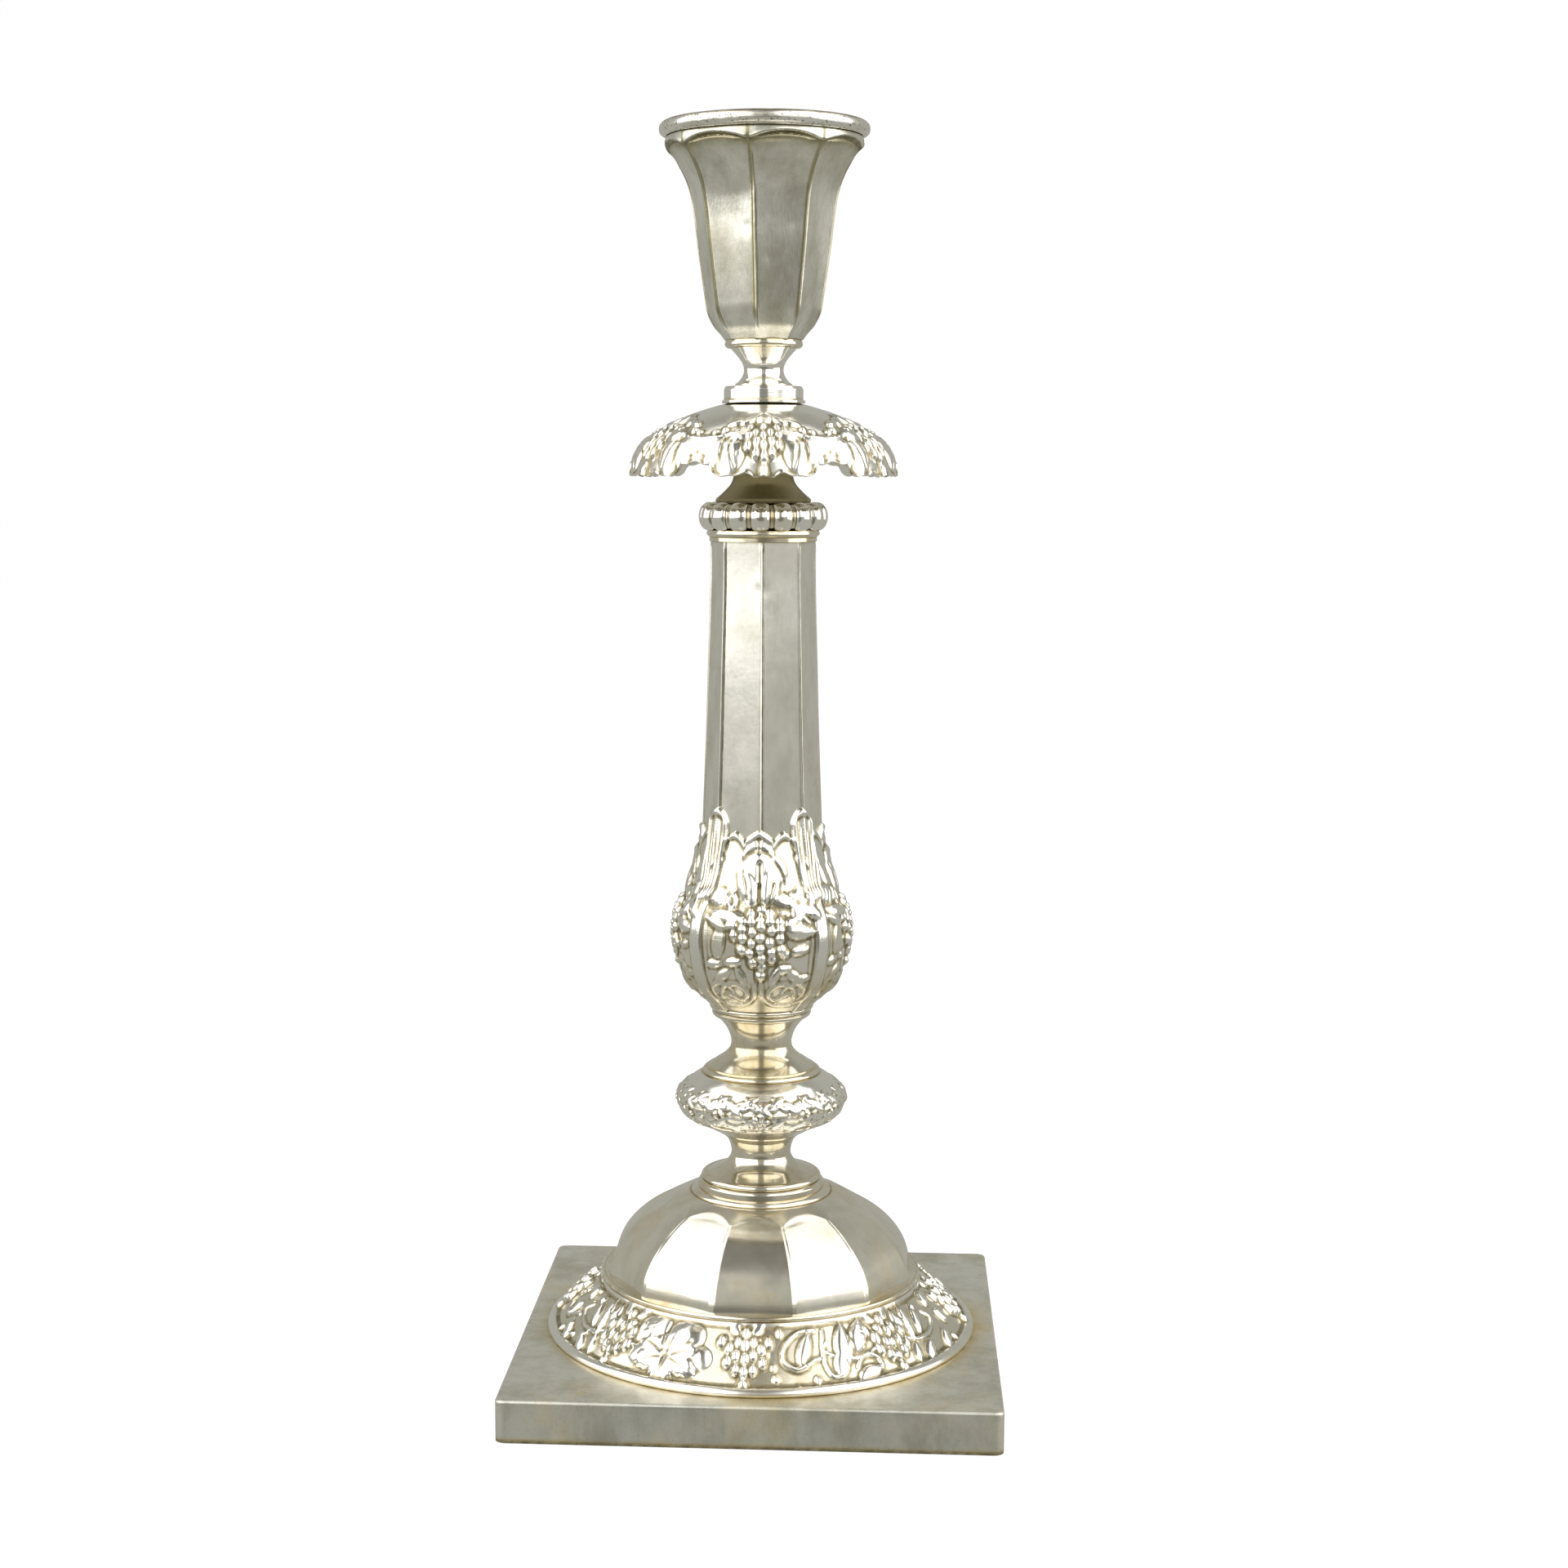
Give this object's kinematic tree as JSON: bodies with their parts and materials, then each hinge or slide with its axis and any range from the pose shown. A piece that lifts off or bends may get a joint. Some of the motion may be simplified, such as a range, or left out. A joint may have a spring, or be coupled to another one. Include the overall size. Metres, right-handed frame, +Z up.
{
  "type": "altar candlestick",
  "caption": "Tall silver-plated candlestick with a square plinth, gored dome, leafy eight-sided column, lobed drip pan and tulip socket that takes one candle.",
  "frame": {"origin": "centre of the plinth's resting plane, on the axis of the stem", "axes": "+Z up along the stem, -Y towards the front of the plinth, +X to the right when seen from the front"},
  "size_m": [0.125, 0.125, 0.3253],
  "materials": {
    "silver": "worn silver plate on brass, polished",
    "silver_tarnished": "silver plate with yellow tarnish, satin",
    "silver_dark": "heavily tarnished silver plate",
    "brass": "plain turned brass",
    "steel": "plain steel rod and fasteners"
  },
  "bodies": {
    "candlestick": {"plinth": "silver_tarnished", "vine_frieze": "silver", "dome_seam_ring": "silver_tarnished", "dome": "silver", "dome_collar": "silver_tarnished", "lower_spool": "silver_tarnished", "knop_lower_half": "silver", "knop_upper_half": "silver", "knop_ring": "silver_tarnished", "upper_spool": "silver_tarnished", "column_foot_band": "silver_tarnished", "column": "silver", "column_top_band": "silver_tarnished", "gadroon_ring": "silver", "column_cap": "silver_dark", "coupling_bush": "brass", "tie_rod": "steel", "rod_washer": "steel", "rod_nut": "steel"},
    "pan": {"drip_pan": "silver"},
    "socket": {"socket_flange": "silver", "socket_neck": "silver", "cup_base_ring": "silver_tarnished", "socket_cup": "silver", "socket_stud": "steel", "pan_nut": "brass"},
    "nozzle": {"nozzle_flange": "silver", "nozzle_tube": "silver_tarnished", "nozzle_bottom": "silver_tarnished"}
  },
  "joints": [
    {"name": "socket_lift", "type": "slide", "parent": "candlestick", "child": "pan", "axis": [0, 0, 1], "range_m": [0, 0.0175]},
    {"name": "socket_turn", "type": "hinge", "parent": "pan", "child": "socket", "pos_m": [0, 0, 0.247], "axis": [0, 0, 1], "range_deg": [0, 5040]},
    {"name": "nozzle_lift", "type": "slide", "parent": "socket", "child": "nozzle", "axis": [0, 0, 1], "range_m": [0, 0.035]}
  ],
  "couplings": [
    {"joint": "socket_lift", "follows": "socket_turn", "m_per_rad": 0.00019894}
  ]
}
